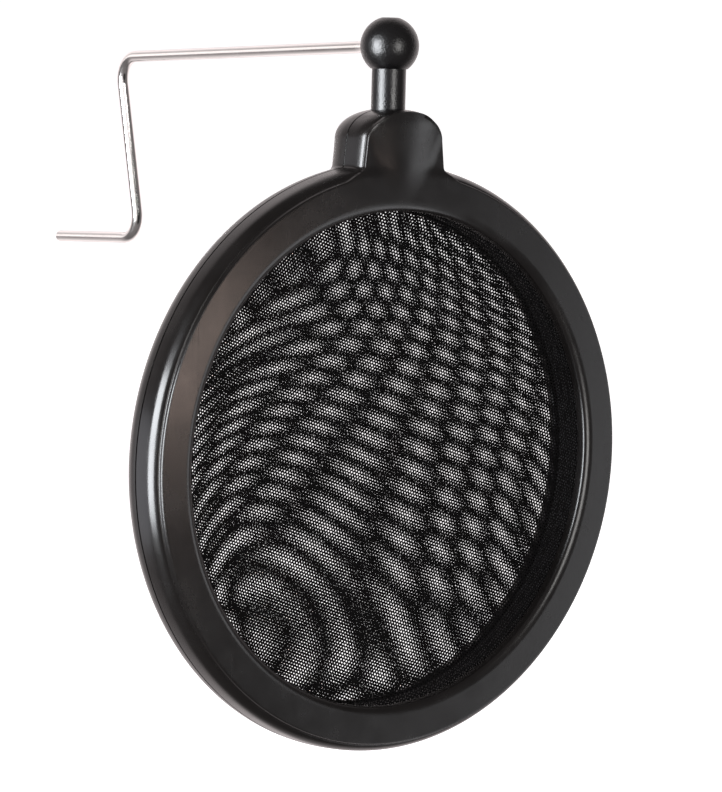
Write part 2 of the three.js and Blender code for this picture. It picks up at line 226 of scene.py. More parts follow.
def smooth_through(points, steps):
    """Catmull-Rom curve through 2-D points, with that many steps in each span."""
    ends = [points[0], *points, points[-1]]
    curve = []
    for i in range(1, len(ends) - 2):
        a, b, c, d = (np.array(ends[i + k], float) for k in (-1, 0, 1, 2))
        for step in range(steps):
            t = step / steps
            curve.append(
                tuple(
                    0.5
                    * (
                        2 * b
                        + (c - a) * t
                        + (2 * a - 5 * b + 4 * c - d) * t**2
                        + (3 * b - 3 * c + d - a) * t**3
                    )
                )
            )
    curve.append(tuple(points[-1]))
    return curve


def turned(name, profile, place, segments=96, crease=35):
    """A closed profile of (radius, height) turned about an axis; place(x, y, h) gives the point.

    A profile that starts and ends at radius 0 is closed by its two points on the axis."""
    on_axis = profile[0][0] == 0 and profile[-1][0] == 0
    rows = profile[1:-1] if on_axis else profile
    points = []
    for k in range(segments):
        turn = 2 * math.pi * k / segments
        for radius, height in rows:
            points.append(place(radius * math.cos(turn), radius * math.sin(turn), height))
    count = len(rows)
    faces = []
    for k in range(segments):
        here = k * count
        there = (k + 1) % segments * count
        for i in range(count - 1):
            faces.append((here + i, there + i, there + i + 1, here + i + 1))
        if not on_axis:
            faces.append((here + count - 1, there + count - 1, there, here))
    if on_axis:
        first = len(points)
        points.append(place(0, 0, profile[0][1]))
        points.append(place(0, 0, profile[-1][1]))
        for k in range(segments):
            here = k * count
            there = (k + 1) % segments * count
            faces.append((first, there, here))
            faces.append((first + 1, here + count - 1, there + count - 1))
    thing = new_object(name, points, faces, crease)
    face_outward(thing)
    soften(thing, crease)
    return thing


def block(name, low, high):
    """A box between two opposite corners, in millimetres."""
    corners = []
    for x in (low[0], high[0]):
        for y in (low[1], high[1]):
            for z in (low[2], high[2]):
                corners.append(spot(x, y, z))
    faces = [(0, 1, 3, 2), (4, 6, 7, 5), (0, 4, 5, 1), (2, 3, 7, 6), (0, 2, 6, 4), (1, 5, 7, 3)]
    thing = new_object(name, corners, faces)
    face_outward(thing)
    return thing


def about_z(x, z_axis):
    """Place function for a turning about a vertical axis at that X; heights count up from z_axis."""
    return lambda a, b, h: spot(x + a, b, z_axis + h)


def about_y(x, z):
    """Place function for a turning about an axis along Y; heights count to the rear."""
    return lambda a, b, h: spot(x + a, h, z + b)


def cut(thing, cutter, operation="DIFFERENCE", crease=35):
    """Applies a boolean and throws the other piece away. Stops if most of the thing is gone."""
    step = thing.modifiers.new("cut", "BOOLEAN")
    step.operation = operation
    step.solver = "EXACT"
    step.object = cutter
    bpy.context.view_layer.update()
    result = bpy.data.meshes.new_from_object(
        thing.evaluated_get(bpy.context.evaluated_depsgraph_get())
    )
    thing.modifiers.clear()
    if len(result.polygons) < len(thing.data.polygons) / 2:
        raise ValueError(f"cutting {thing.name} lost it")
    thing.data = result
    bpy.data.objects.remove(cutter)
    soften(thing, crease)
    return thing


# ---- materials ----
class Finish:
    """A material with a Principled shader, and short ways to add nodes that feed it."""

    def __init__(self, name, colour, roughness, **sockets):
        self.name = name  # the frame has materials of these names, so Blender numbers the new ones
        self.material = bpy.data.materials.new(name)
        self.material.use_nodes = True
        self.tree = self.material.node_tree
        self.shader = self.tree.nodes["Principled BSDF"]
        self.shader.inputs["Base Color"].default_value = (*colour, 1)
        self.shader.inputs["Roughness"].default_value = roughness
        for key, value in sockets.items():
            self.shader.inputs[key.replace("_", " ")].default_value = value
        self.place = self.node("ShaderNodeTexCoord").outputs["Object"]
        self.heights = None

    def node(self, kind, **settings):
        made = self.tree.nodes.new(kind)
        for key, value in settings.items():
            setattr(made, key, value)
        return made

    def feed(self, source, target):
        self.tree.links.new(source, target)

    def noise(self, scale, detail=3.0, roughness=0.55, stretch=(1, 1, 1)):
        """Noise whose features are about 1 / scale metres across."""
        mapping = self.node("ShaderNodeMapping")
        mapping.inputs["Scale"].default_value = stretch
        self.feed(self.place, mapping.inputs["Vector"])
        texture = self.node("ShaderNodeTexNoise")
        texture.inputs["Scale"].default_value = scale
        texture.inputs["Detail"].default_value = detail
        texture.inputs["Roughness"].default_value = roughness
        self.feed(mapping.outputs["Vector"], texture.inputs["Vector"])
        return texture.outputs["Fac"]

    def spread(self, factor, low, high, start=0.3, end=0.7):
        """The factor from start to end, turned into a number from low to high."""
        ranged = self.node("ShaderNodeMapRange")
        ranged.inputs["From Min"].default_value = start
        ranged.inputs["From Max"].default_value = end
        ranged.inputs["To Min"].default_value = low
        ranged.inputs["To Max"].default_value = high
        self.feed(factor, ranged.inputs["Value"])
        return ranged.outputs["Result"]

    def blend(self, factor, dark, light, start=0.3, end=0.7):
        ramp = self.node("ShaderNodeValToRGB")
        ramp.color_ramp.elements[0].position = start
        ramp.color_ramp.elements[0].color = (*dark, 1)
        ramp.color_ramp.elements[1].position = end
        ramp.color_ramp.elements[1].color = (*light, 1)
        self.feed(factor, ramp.inputs["Fac"])
        return ramp.outputs["Color"]

    def sum(self, first, second, operation="ADD"):
        maths = self.node("ShaderNodeMath", operation=operation)
        self.feed(first, maths.inputs[0])
        self.feed(second, maths.inputs[1])
        return maths.outputs["Value"]

    def relief(self, height, depth, strength=1.0):
        """Adds a bump of that depth in metres on top of the ones before it."""
        bump = self.node("ShaderNodeBump")
        bump.inputs["Strength"].default_value = strength
        bump.inputs["Distance"].default_value = depth
        self.feed(height, bump.inputs["Height"])
        if self.heights is not None:
            self.feed(self.heights, bump.inputs["Normal"])
        self.heights = bump.outputs["Normal"]
        self.feed(self.heights, self.shader.inputs["Normal"])

    def wear(self, thing):
        thing.data.materials.clear()
        thing.data.materials.append(self.material)


SCRATCH_DULLING = 0.04
WAVE_DEPTH = 2.5e-5


def dark_plastic(name, dark, light, gloss, texture_depth=4e-6, grain=3500):
    """Moulded black plastic: cloudy colour, fine moulding grain, faint rubbed patches and scratches."""
    finish = Finish(name, dark, gloss, IOR=1.5)
    finish.feed(
        finish.blend(finish.noise(45, 4), dark, light), finish.shader.inputs["Base Color"]
    )
    cloud = finish.spread(finish.noise(90, 5, 0.65), gloss - 0.04, gloss + 0.05)
    scratch = finish.spread(
        finish.noise(900, 2, 0.5, (1, 1, 0.04)), 0, SCRATCH_DULLING, start=0.62, end=0.8
    )
    finish.feed(finish.sum(cloud, scratch), finish.shader.inputs["Roughness"])
    finish.relief(finish.noise(grain, 3, 0.6), texture_depth)
    finish.relief(finish.noise(60, 2, 0.4), WAVE_DEPTH)
    return finish


def bright_metal(name, light, gloss, brushing, tarnish=None, rim=None):
    """Drawn metal with fine lines along one direction, and either tarnish or painted shade along its rim.

    The rim colour is painted shade: the base colour darkens where the surface turns away from the viewer,
    so it changes with the view."""
    finish = Finish(name, light, gloss, Metallic=1.0)
    if rim:
        # painted shade: the base colour turns to the rim colour where the surface faces away from the
        # viewer
        facing = finish.node("ShaderNodeLayerWeight").outputs["Facing"]
        colour = finish.blend(facing, light, rim, start=0.72, end=0.95)
    else:
        colour = finish.blend(finish.noise(120, 4), tarnish, light)
    finish.feed(colour, finish.shader.inputs["Base Color"])
    lines = finish.noise(2500, 3, 0.6, brushing)
    patches = finish.spread(finish.noise(200, 4), gloss - 0.03, gloss + 0.04)
    finish.feed(
        finish.sum(patches, finish.spread(lines, -0.03, 0.05)),
        finish.shader.inputs["Roughness"],
    )
    finish.relief(lines, 8e-7)
    return finish


def net_cloth(name, dark, light):
    """Knitted nylon net: fine filaments and a faint sheen."""
    finish = Finish(name, dark, 0.55, IOR=1.4, Specular_IOR_Level=0.12)
    finish.feed(
        finish.blend(finish.noise(800, 4), dark, light), finish.shader.inputs["Base Color"]
    )
    filament = finish.noise(9000, 2, 0.6)
    finish.feed(finish.spread(filament, 0.42, 0.65), finish.shader.inputs["Roughness"])
    finish.relief(filament, 1.5e-5)
    return finish


# ---- outline of ring and tab ----
RING_STEPS = 215
FILLET_STEPS = 12
SIDE_STEPS = 20
ARCH_STEPS = 36


def outline_half():
    """Outer contour from the bottom of the ring to the top of the tab, for X from 0 up."""
    side = np.array([TAB_HALF_SHOULDER - TAB_HALF_BASE, TAB_SHOULDER - TAB_BASE])
    side = side / np.linalg.norm(side)
    out = np.array([side[1], -side[0]])
    reach = out @ np.array([TAB_HALF_BASE, TAB_BASE]) + TAB_FILLET
    far = RING_RADIUS + TAB_FILLET
    centre = out * reach + side * math.sqrt(far**2 - reach**2)
    leaves = math.atan2(centre[1], centre[0])

    ring = np.linspace(-math.pi / 2, leaves, RING_STEPS, endpoint=False)
    points = [RING_RADIUS * np.stack([np.cos(ring), np.sin(ring)], axis=1)]
    end = math.atan2(out[1], out[0]) - math.pi
    fillet = np.linspace(leaves - math.pi, end, FILLET_STEPS, endpoint=False)
    points.append(centre + TAB_FILLET * np.stack([np.cos(fillet), np.sin(fillet)], axis=1))
    foot = centre - TAB_FILLET * out
    shoulder = np.array([TAB_HALF_SHOULDER, TAB_SHOULDER])
    up = np.linspace(0, 1, SIDE_STEPS, endpoint=False)[:, None]
    points.append(foot + (shoulder - foot) * up)
    t = np.linspace(0, 1, ARCH_STEPS + 1)[:, None]
    arch = (1 - t) ** 3 * shoulder + t**2 * (3 * (1 - t) * ARCH_HANDLE + t * np.array([0, TAB_TOP]))
    arch += 3 * t * (1 - t) ** 2 * SHOULDER_HANDLE
    points.append(arch)
    return np.concatenate(points), leaves


def outline():
    """The whole contour as (points, outward normals, angles of the matching points on the bore,
    how far each column has left the ring for the tab, from 0 to 1)."""
    half, leaves = outline_half()
    length = np.concatenate([[0], np.cumsum(np.linalg.norm(np.diff(half, axis=0), axis=1))])
    bore = np.arctan2(half[:, 1], half[:, 0])
    along = (length[RING_STEPS:] - length[RING_STEPS]) / (length[-1] - length[RING_STEPS])
    bore[RING_STEPS:] = leaves + (math.pi / 2 - leaves) * along
    on_tab = eased(np.arange(len(half)), RING_STEPS - 5, RING_STEPS + 1)
    points = np.concatenate([half, half[1:-1][::-1] * (-1, 1)])
    bore = np.concatenate([bore, math.pi - bore[1:-1][::-1]])
    on_tab = np.concatenate([on_tab, on_tab[1:-1][::-1]])
    ahead = np.roll(points, -1, axis=0) - points
    behind = np.roll(ahead, 1, axis=0)
    tangent = ahead / np.linalg.norm(ahead, axis=1)[:, None]
    tangent += behind / np.linalg.norm(behind, axis=1)[:, None]
    tangent /= np.linalg.norm(tangent, axis=1)[:, None]
    normals = np.stack([tangent[:, 1], -tangent[:, 0]], axis=1)
    return points, normals, bore, on_tab


def eased(value, start, end):
    """0 before start, 1 after end, and smooth between them."""
    t = np.clip((value - start) / (end - start), 0, 1)
    return t * t * (3 - 2 * t)


def face_height(x, z):
    """How far the face stands before the parting plane: the flat ring, the tab and its bulge."""
    on_tab = eased(np.hypot(x, z), RING_RADIUS - FACE_INSET, RING_RADIUS)
    flat = HALF_DEPTH - TAB_SETBACK * on_tab
    rise = CROWN_RISE * np.clip((z - CROWN_FOOT) / (CROWN_TOP - CROWN_FOOT), -1, 1)
    drum = HALF_DEPTH + rise - (CROWN_RADIUS - np.sqrt(CROWN_RADIUS**2 - np.clip(x, -30, 30) ** 2))
    drum = np.where(z > 0, drum, 0)
    h = np.clip(0.5 + 0.5 * (drum - flat) / CROWN_BLEND, 0, 1)
    return flat * (1 - h) + drum * h + CROWN_BLEND * h * (1 - h)


# (inset from the outline, depth behind the face) of each shell's wall and shoulder
FRONT_SHOULDER = [
    (0.4, HALF_DEPTH - PARTING_GAP),
    (0.34, 7.8),
    (0.05, 7.72),
    (0.01, 7.6),
    (0.08, 6.2),
    (0.2, 4.6),
    (0.36, 3.6),
    (0.6, 2.9),
    (0.92, 2.3),
    (1.3, 1.75),
    (1.75, 1.3),
    (2.1, 1.08),
    (2.3, 1.04),
    (2.42, 0.7),
    (2.52, 0.3),
    (2.65, 0.06),
    (FACE_INSET, 0.0),
]
REAR_SHOULDER = [
    (0.4, HALF_DEPTH - PARTING_GAP),
    (0.34, 7.8),
    (0.05, 7.72),
    (0.01, 7.6),
    (0.1, 6.2),
    (0.35, 5.0),
    (0.95, 3.6),
    (1.75, 2.4),
    (2.8, 1.3),
    (4.0, 0.5),
    (5.4, 0.1),
    (REAR_FACE_INSET, 0.0),
]
LIP = [  # (radius, depth behind the face)
    (LIP_RADIUS, 0.0),
    (66.6, 0.12),
    (65.8, 0.45),
    (65.3, 0.9),
    (BORE_RADIUS, 1.4),
]
INSIDE = [
    (BORE_RADIUS, LEDGE_DEPTH),
    (SEAT_RADIUS, LEDGE_DEPTH),
    (SEAT_RADIUS, RIB_DEPTH),
    (RIB_RADIUS, RIB_DEPTH),
    (RIB_RADIUS, WALL),
    (74.3, WALL),
    (75.6, HALF_DEPTH - PARTING_GAP),
]
FACE_ROWS = 22


def shell(name, side, shoulder, tab_side_inset, tab_top_inset):
    """One shell; side is -1 for the front one and 1 for the one at the rear.

    The insets say how much of the ring's rounding its tab has, at the sides and at the top."""
    points, normals, bore, on_tab = outline()
    columns = len(points)
    at_top = eased(points[:, 1], TAB_SHOULDER + 5, TAB_TOP)
    share = 1 + (tab_side_inset + (tab_top_inset - tab_side_inset) * at_top - 1) * on_tab
    inward = normals * share[:, None]
    rim = points - shoulder[-1][0] * inward
    edge_height = face_height(rim[:, 0], rim[:, 1])
    rows = []
    for inset, depth in smooth_through(shoulder, 3):
        flat = points - inset * inward
        height_share = 1 - depth / (HALF_DEPTH - PARTING_GAP)
        rows.append((flat, PARTING_GAP + (edge_height - PARTING_GAP) * height_share))
    lip = LIP_RADIUS * np.stack([np.cos(bore), np.sin(bore)], axis=1)
    for i in range(1, FACE_ROWS):
        flat = rim + (lip - rim) * i / FACE_ROWS
        rows.append((flat, face_height(flat[:, 0], flat[:, 1])))
    for radius, depth in smooth_through(LIP, 3) + INSIDE:
        flat = radius * np.stack([np.cos(bore), np.sin(bore)], axis=1)
        rows.append((flat, np.full(columns, HALF_DEPTH - depth)))
    corners = []
    for flat, height in rows:
        for (x, z), h in zip(flat, height):
            corners.append(spot(x, side * h, z))
    faces = []
    for i in range(len(rows)):
        here = i * columns
        there = (i + 1) % len(rows) * columns
        for k in range(columns):
            beside = (k + 1) % columns
            faces.append((here + k, here + beside, there + beside, there + k))
    thing = new_object(name, corners, faces)
    face_outward(thing)
    return thing


def stem_pocket():
    """The room for the stem's foot, its washers and its seal, as a piece to cut with."""
    profile = [
        (0, WELL_FLOOR), (WELL_RADIUS, WELL_FLOOR), (WELL_RADIUS, POCKET_FLOOR),
        (POCKET_RADIUS, POCKET_FLOOR), (POCKET_RADIUS, POCKET_TOP), (NECK_BORE, POCKET_TOP),
        (NECK_BORE, ABOVE_TAB), (0, ABOVE_TAB),
    ]
    return turned("pocket", profile, about_z(0, 0))


def screw_places():
    places = {
        "tab_screw_left": (-TAB_SCREW[0], TAB_SCREW[1]),
        "tab_screw_right": TAB_SCREW,
    }
    for i, angle in enumerate(RING_SCREW_ANGLES):
        turn = math.radians(angle)
        places[f"ring_screw_{i + 1}"] = (SCREW_CIRCLE * math.cos(turn), SCREW_CIRCLE * math.sin(turn))
    return places


def screw(name, x, z):
    """A pan-head screw along Y with a cross recess in its head."""
    top = SCREW_HEAD_TOP
    profile = [
        (0, -SCREW_TIP),
        (SCREW_SHANK - SHANK_BEVEL, -SCREW_TIP),
        (SCREW_SHANK, -SCREW_TIP + SHANK_TAPER),
        (SCREW_SHANK, top - SCREW_HEAD_HEIGHT),
        (SCREW_HEAD, top - SCREW_HEAD_HEIGHT),
        (SCREW_HEAD, top - HEAD_EDGE),
        (SCREW_HEAD - 0.25, top - 0.15),
        (SCREW_HEAD - HEAD_CROWN, top),
        (0, top),
    ]
    thing = turned(name, profile, about_y(x, z), 40)
    arm, half = RECESS_ARM, RECESS_HALF_WIDTH
    for reach_x, reach_z in ((arm, half), (half, arm)):
        low = (x - reach_x, top - RECESS_DEPTH, z - reach_z)
        high = (x + reach_x, top + 1, z + reach_z)
        cut(thing, block("recess", low, high))
    return thing


# ---- cloth ----
def pulled(points):
    """Where the clamped rear cloth holds the points of the even pattern."""
    reach = np.hypot(points[:, 0], points[:, 1])
    held = points * np.minimum(1, PULL_END / np.maximum(reach, 1e-6))[:, None] / PULL_REACH
    moved = points.copy()
    for n, pairs in enumerate(PULL):
        for k, pair in enumerate(pairs):
            moved += (held[:, 0] ** (n - k) * held[:, 1] ** k)[:, None] * pair
    return moved


def net(name, depth, seed, shape=None):
    """A flat net of six-sided holes in a triangular pattern, which shape can pull out of true.

    The seed sets how its holes wander and differ in size."""
    reach = 100
    chance = np.random.default_rng(seed)
    i, j = np.meshgrid(np.arange(-reach, reach + 1), np.arange(-reach, reach + 1), indexing="ij")
    right, up = NET_STEPS
    ways = np.array([right, up, up - right, -right, -up, right - up])
    centres = i[..., None] * right + j[..., None] * up
    wander = chance.normal(0, KNIT_WANDER, centres.shape)
    centres += np.clip(wander, -3 * KNIT_WANDER, 3 * KNIT_WANDER)
    spread = chance.normal(0, KNIT_SPREAD, i.shape)
    sizes = 1 + np.clip(spread, -2 * KNIT_SPREAD, 2 * KNIT_SPREAD)
    corners = HOLE_SHARE * (ways + np.roll(ways, -1, axis=0)) / 3
    moved = (centres[:, :, None, :] + corners * sizes[..., None, None]).reshape(-1, 2)
    if shape is not None:
        moved = shape(moved)
    size = 2 * reach + 1
    inside = (np.hypot(moved[:, 0], moved[:, 1]) < CLOTH_RADIUS).reshape(size, size, 6).all(axis=2)

    number = np.arange(size * size * 6).reshape(size, size, 6)
    faces = []

    def shifted(di, dj):
        """Where the pattern has holes with a neighbour at that step, and where those neighbours are."""
        own = (slice(max(0, -di), size - max(0, di)), slice(max(0, -dj), size - max(0, dj)))
        other = (
            slice(max(0, di), size + min(0, di)),
            slice(max(0, dj), size + min(0, dj)),
        )
        return own, other

    neighbours = [(1, 0), (0, 1), (-1, 1)]
    for m, (di, dj) in enumerate(neighbours):
        own, other = shifted(di, dj)
        both = inside[own] & inside[other]
        a, b = number[own][both], number[other][both]
        loop = [a[:, (m - 1) % 6], b[:, (m + 3) % 6], b[:, (m + 2) % 6], a[:, m]]
        faces.append(np.stack(loop, axis=1))
    quads = np.concatenate(faces)
    triangles = []
    for m in (0, 1):
        (di, dj), (ei, ej) = neighbours[m], neighbours[m + 1]
        low, high = 1, size - 1
        own = (slice(low, high), slice(low, high))
        one = (slice(low + di, high + di), slice(low + dj, high + dj))
        two = (slice(low + ei, high + ei), slice(low + ej, high + ej))
        all_three = inside[own] & inside[one] & inside[two]
        a, b, c = number[own][all_three], number[one][all_three], number[two][all_three]
        triangles.append(np.stack([a[:, m], b[:, (m + 2) % 6], c[:, (m + 4) % 6]], axis=1))
    triangles = np.concatenate(triangles)

    used, flat_faces = np.unique(
        np.concatenate([quads.ravel(), triangles.ravel()]), return_inverse=True
    )
    points = np.zeros((len(used), 3))
    points[:, 0] = moved[used, 0]
    points[:, 1] = depth
    points[:, 2] = moved[used, 1]
    points = points * MM + np.array(RING_CENTRE)
    mesh = bpy.data.meshes.new(name)
    mesh.vertices.add(len(points))
    mesh.vertices.foreach_set("co", points.ravel())
    mesh.loops.add(len(flat_faces))
    mesh.loops.foreach_set("vertex_index", flat_faces.ravel())
    corner_counts = np.concatenate([np.full(len(quads), 4), np.full(len(triangles), 3)])
    mesh.polygons.add(len(corner_counts))
    mesh.polygons.foreach_set("loop_start", np.concatenate([[0], np.cumsum(corner_counts)[:-1]]))
    mesh.update(calc_edges=True)
    mesh.validate()
    thing = bpy.data.objects.new(name, mesh)
    bpy.context.scene.collection.objects.link(thing)
    return thing


# ---- rod ----
ALONG = Vector((0, math.cos(ARM_PITCH), math.sin(ARM_PITCH)))
DOWN = Vector((0, math.sin(ARM_PITCH), -math.cos(ARM_PITCH))) * math.cos(DROP_ROLL)
DOWN += Vector((math.sin(DROP_ROLL), 0, 0))
BALL_CENTRE = Vector((0, 0, BALL_HEIGHT))
FIRST_CORNER = BALL_CENTRE + ALONG * ARM_LENGTH
SECOND_CORNER = FIRST_CORNER + DOWN * DROP_LENGTH
TAIL_END = SECOND_CORNER + ALONG * TAIL_LENGTH


def along_arm(a, b, s):
    """Place function about the arm's axis; s counts from the ball's centre."""
    across = Vector((1, 0, 0))
    over = across.cross(ALONG)
    point = BALL_CENTRE + ALONG * s + across * a + over * b
    return spot(*point)


def bend(corner, a, b, steps):
    """Stations of a right-angle bend at that corner, from direction a to direction b."""
    stations = []
    for i in range(steps + 1):
        turn = math.pi / 2 * i / steps
        back = a * BEND_RADIUS * (math.sin(turn) - 1)
        point = corner + back + b * BEND_RADIUS * (1 - math.cos(turn))
        stations.append((point, a * math.cos(turn) + b * math.sin(turn), ROD_RADIUS))
    return stations


def rod_stations():
    """(centre, direction, radius) of each ring of the rod, without its threaded end."""
    threads_end = ROD_START + RIDGE_PITCH * RIDGE_COUNT
    stations = [(BALL_CENTRE + ALONG * threads_end, ALONG, ROD_RADIUS)]
    straight_steps = 40
    for i in range(1, straight_steps):
        s = threads_end + (ARM_LENGTH - BEND_RADIUS - threads_end) * i / straight_steps
        stations.append((BALL_CENTRE + ALONG * s, ALONG, ROD_RADIUS))
    stations += bend(FIRST_CORNER, ALONG, DOWN, 24)
    drop_steps = 14
    for i in range(1, drop_steps):
        s = BEND_RADIUS + (DROP_LENGTH - 2 * BEND_RADIUS) * i / drop_steps
        stations.append((FIRST_CORNER + DOWN * s, DOWN, ROD_RADIUS))
    stations += bend(SECOND_CORNER, DOWN, ALONG, 24)
    tail_steps = 12
    for i in range(1, tail_steps + 1):
        s = BEND_RADIUS + (TAIL_LENGTH - ROD_BEVEL - BEND_RADIUS) * i / tail_steps
        stations.append((SECOND_CORNER + ALONG * s, ALONG, ROD_RADIUS))
    stations.append((TAIL_END, ALONG, ROD_RADIUS - ROD_BEVEL))
    return stations


def rod():
    """The bent wire, with a screw thread on the end that goes into the ball."""
    segments = 40
    points = []
    rings = 0
    thread_steps = 12
    thread_rings = RIDGE_COUNT * thread_steps
    across = Vector((1, 0, 0))
    for i in range(thread_rings):
        s = ROD_START + RIDGE_PITCH * i / thread_steps
        fade = min(1, (thread_rings - i) / thread_steps)
        for k in range(segments):
            turn = 2 * math.pi * k / segments
            phase = (i / thread_steps + k / segments) % 1
            crest = max(0.0, 1 - abs(phase - 0.5) / CREST_REACH)
            low = ROD_RADIUS - THREAD_DEPTH
            cut_thread = (RIDGE_RADIUS - low) * min(1.0, CREST_STEEPNESS * crest)
            radius = low + cut_thread * fade + (ROD_RADIUS - low) * (1 - fade)
            over = across.cross(ALONG)
            outward = across * math.cos(turn) + over * math.sin(turn)
            point = BALL_CENTRE + ALONG * s + outward * radius
            points.append(spot(*point))
        rings += 1
    for centre, way, radius in rod_stations():
        over = across.cross(way).normalized()
        sideways = way.cross(over).normalized()
        for k in range(segments):
            turn = 2 * math.pi * k / segments
            point = centre + (sideways * math.cos(turn) + over * math.sin(turn)) * radius
            points.append(spot(*point))
        rings += 1
    faces = []
    for i in range(rings - 1):
        for k in range(segments):
            beside = (k + 1) % segments
            here, there = i * segments, (i + 1) * segments
            faces.append((here + k, here + beside, there + beside, there + k))
    faces.append(tuple(range(segments)))
    faces.append(tuple((rings - 1) * segments + k for k in range(segments)))
    thing = new_object("steel_rod", points, faces)
    face_outward(thing)
    soften(thing, 35)
    return thing


# ---- ball, stem and their inner pieces ----
def ball():
    """The ball, flat where it meets the stem, bored for the stem, its screw and the rod's insert."""
    profile = [(0.0, -BALL_SEAT)]
    start = -math.asin(BALL_SEAT / BALL_RADIUS)
    end = math.asin(BALL_TOP_FLAT / BALL_RADIUS)
    steps = 72
    for i in range(steps + 1):
        turn = start + (end - start) * i / steps
        profile.append((BALL_RADIUS * math.cos(turn), BALL_RADIUS * math.sin(turn)))
    profile.append((0.0, BALL_TOP_FLAT))
    thing = turned("ball_body", profile, about_z(0, BALL_HEIGHT), 144)
    below, above = -8, 9
    hole = [
        (0, below), (SHAFT_RADIUS, below), (SHAFT_RADIUS, SHAFT_TOP), (SCREW_BORE, SHAFT_TOP),
        (SCREW_BORE, HEAD_SEAT), (HEAD_BORE, HEAD_SEAT), (HEAD_BORE, above), (0, above),
    ]
    cut(thing, turned("shaft", hole, about_z(0, BALL_HEIGHT), 64))
    outside = 12
    mouth = [
        (0, MOUTH_START), (MOUTH_RADIUS, MOUTH_START), (MOUTH_RADIUS, outside), (0, outside),
    ]
    cut(thing, turned("mouth", mouth, along_arm, 64))
    return thing


def stem():
    """The post between tab and ball: foot, flange, groove for the seal, spigot and tapped hole."""
    edge, fine = 0.2, 0.1
    profile = [
        (0, FOOT_BOTTOM), (FOOT_RADIUS - FOOT_BEVEL, FOOT_BOTTOM), (FOOT_RADIUS, FOOT_BOTTOM + FOOT_BEVEL),
        (FOOT_RADIUS, FLANGE_BOTTOM), (FLANGE_RADIUS - edge, FLANGE_BOTTOM),
        (FLANGE_RADIUS, FLANGE_BOTTOM + edge), (FLANGE_RADIUS, FLANGE_TOP - edge),
        (FLANGE_RADIUS - edge, FLANGE_TOP), (STEM_RADIUS, FLANGE_TOP),
        (STEM_RADIUS, GROOVE_BOTTOM - fine), (STEM_RADIUS - fine, GROOVE_BOTTOM),
        (GROOVE_RADIUS, GROOVE_BOTTOM), (GROOVE_RADIUS, GROOVE_TOP),
        (STEM_RADIUS - fine, GROOVE_TOP), (STEM_RADIUS, GROOVE_TOP + fine),
        (STEM_RADIUS, STEM_TOP), (SPIGOT_RADIUS, STEM_TOP), (SPIGOT_RADIUS, SPIGOT_TOP - edge),
        (SPIGOT_RADIUS - edge, SPIGOT_TOP), (TAP_RADIUS, SPIGOT_TOP), (TAP_RADIUS, TAP_FLOOR),
        (0, TAP_FLOOR),
    ]
    return turned("stem_post", profile, about_z(0, 0), 96)


# ---- studio ----
FLOOR_HEIGHT = -320.0
FLOOR_RADIUS = 4500.0
COVE_RADIUS = 1500.0
WALL_TOP = 6000.0
PAPER_GLOW = 0.85
KEY_POWER = 62
FILL_POWER = 10
SIDE_POWER = 6.6
RIM_POWER = 3.5
ROD_FRONT_POWER = 19
ROD_REAR_POWER = 2.4
GLOW_POWER = 0.3
GLOW_COLOUR = (1, 0.78, 0.68)
GLOW_RADIUS = 0.034  # in metres
GLOW_BLEND = 0.7
GLOW_CONE = 27  # degrees across
GLOW_PLACE = (109, -284, 10)
GLOW_AIM = (-71, -8, 18)
ROOM_TINT = (1.04, 0.95, 0.95)
REARWARD = (0.614, 0.789, 0.0)  # level direction from the camera past the object
# (how far a direction lies along REARWARD, from -1 to 1; grey) round the room
ROOM = [(-1.0, 0.18), (-0.3, 0.165), (0.24, 0.12), (0.75, 1.12)]


def paper_sweep():
    """A white floor that curves up into a wall all round; only the camera sees it."""
    profile = [(0.001, FLOOR_HEIGHT), (FLOOR_RADIUS, FLOOR_HEIGHT)]
    steps = 24
    for i in range(1, steps + 1):
        turn = math.pi / 2 * i / steps
        radius = FLOOR_RADIUS + COVE_RADIUS * math.sin(turn)
        profile.append((radius, FLOOR_HEIGHT + COVE_RADIUS * (1 - math.cos(turn))))
    profile.append((FLOOR_RADIUS + COVE_RADIUS, WALL_TOP))
    segments = 96
    points = []
    for k in range(segments):
        turn = 2 * math.pi * k / segments
        for radius, height in profile:
            points.append(Vector((radius * math.cos(turn), radius * math.sin(turn), height)) * MM)
    count = len(profile)
    faces = []
    for k in range(segments):
        here = k * count
        there = (k + 1) % segments * count
        for i in range(count - 1):
            faces.append((here + i, there + i, there + i + 1, here + i + 1))
    thing = new_object("paper_sweep", points, faces, 60)
    thing.visible_diffuse = False
    thing.visible_glossy = False
    thing.visible_shadow = False
    return thing


def softbox(name, azimuth, elevation, distance, width, height, power, colour):
    """A rectangular lamp that faces the ring. Degrees, azimuth 0 at the front; sizes in metres."""
    lamp = bpy.data.lights.new(name, "AREA")
    lamp.shape = "RECTANGLE"
    lamp.size = width
    lamp.size_y = height
    lamp.energy = power
    lamp.color = colour
    holder = bpy.data.objects.new(name, lamp)
    bpy.context.scene.collection.objects.link(holder)
    az, el = math.radians(azimuth), math.radians(elevation)
    way = Vector((math.sin(az) * math.cos(el), -math.cos(az) * math.cos(el), math.sin(el)))
    holder.location = RING_CENTRE + way * distance
    holder.rotation_euler = (-way).to_track_quat("-Z", "Y").to_euler()
    holder.visible_camera = False
    return holder


def glow_spot():
    """A small warm lamp near the ring, aimed at the upper left of its face."""
    lamp = bpy.data.lights.new("glow", "SPOT")
    lamp.energy = GLOW_POWER
    lamp.color = GLOW_COLOUR
    lamp.shadow_soft_size = GLOW_RADIUS
    lamp.spot_size = math.radians(GLOW_CONE)
    lamp.spot_blend = GLOW_BLEND
    holder = bpy.data.objects.new("glow", lamp)
    bpy.context.scene.collection.objects.link(holder)
    holder.location = spot(*GLOW_PLACE)
    way = spot(*GLOW_AIM) - holder.location
    holder.rotation_euler = way.to_track_quat("-Z", "Y").to_euler()
    return holder


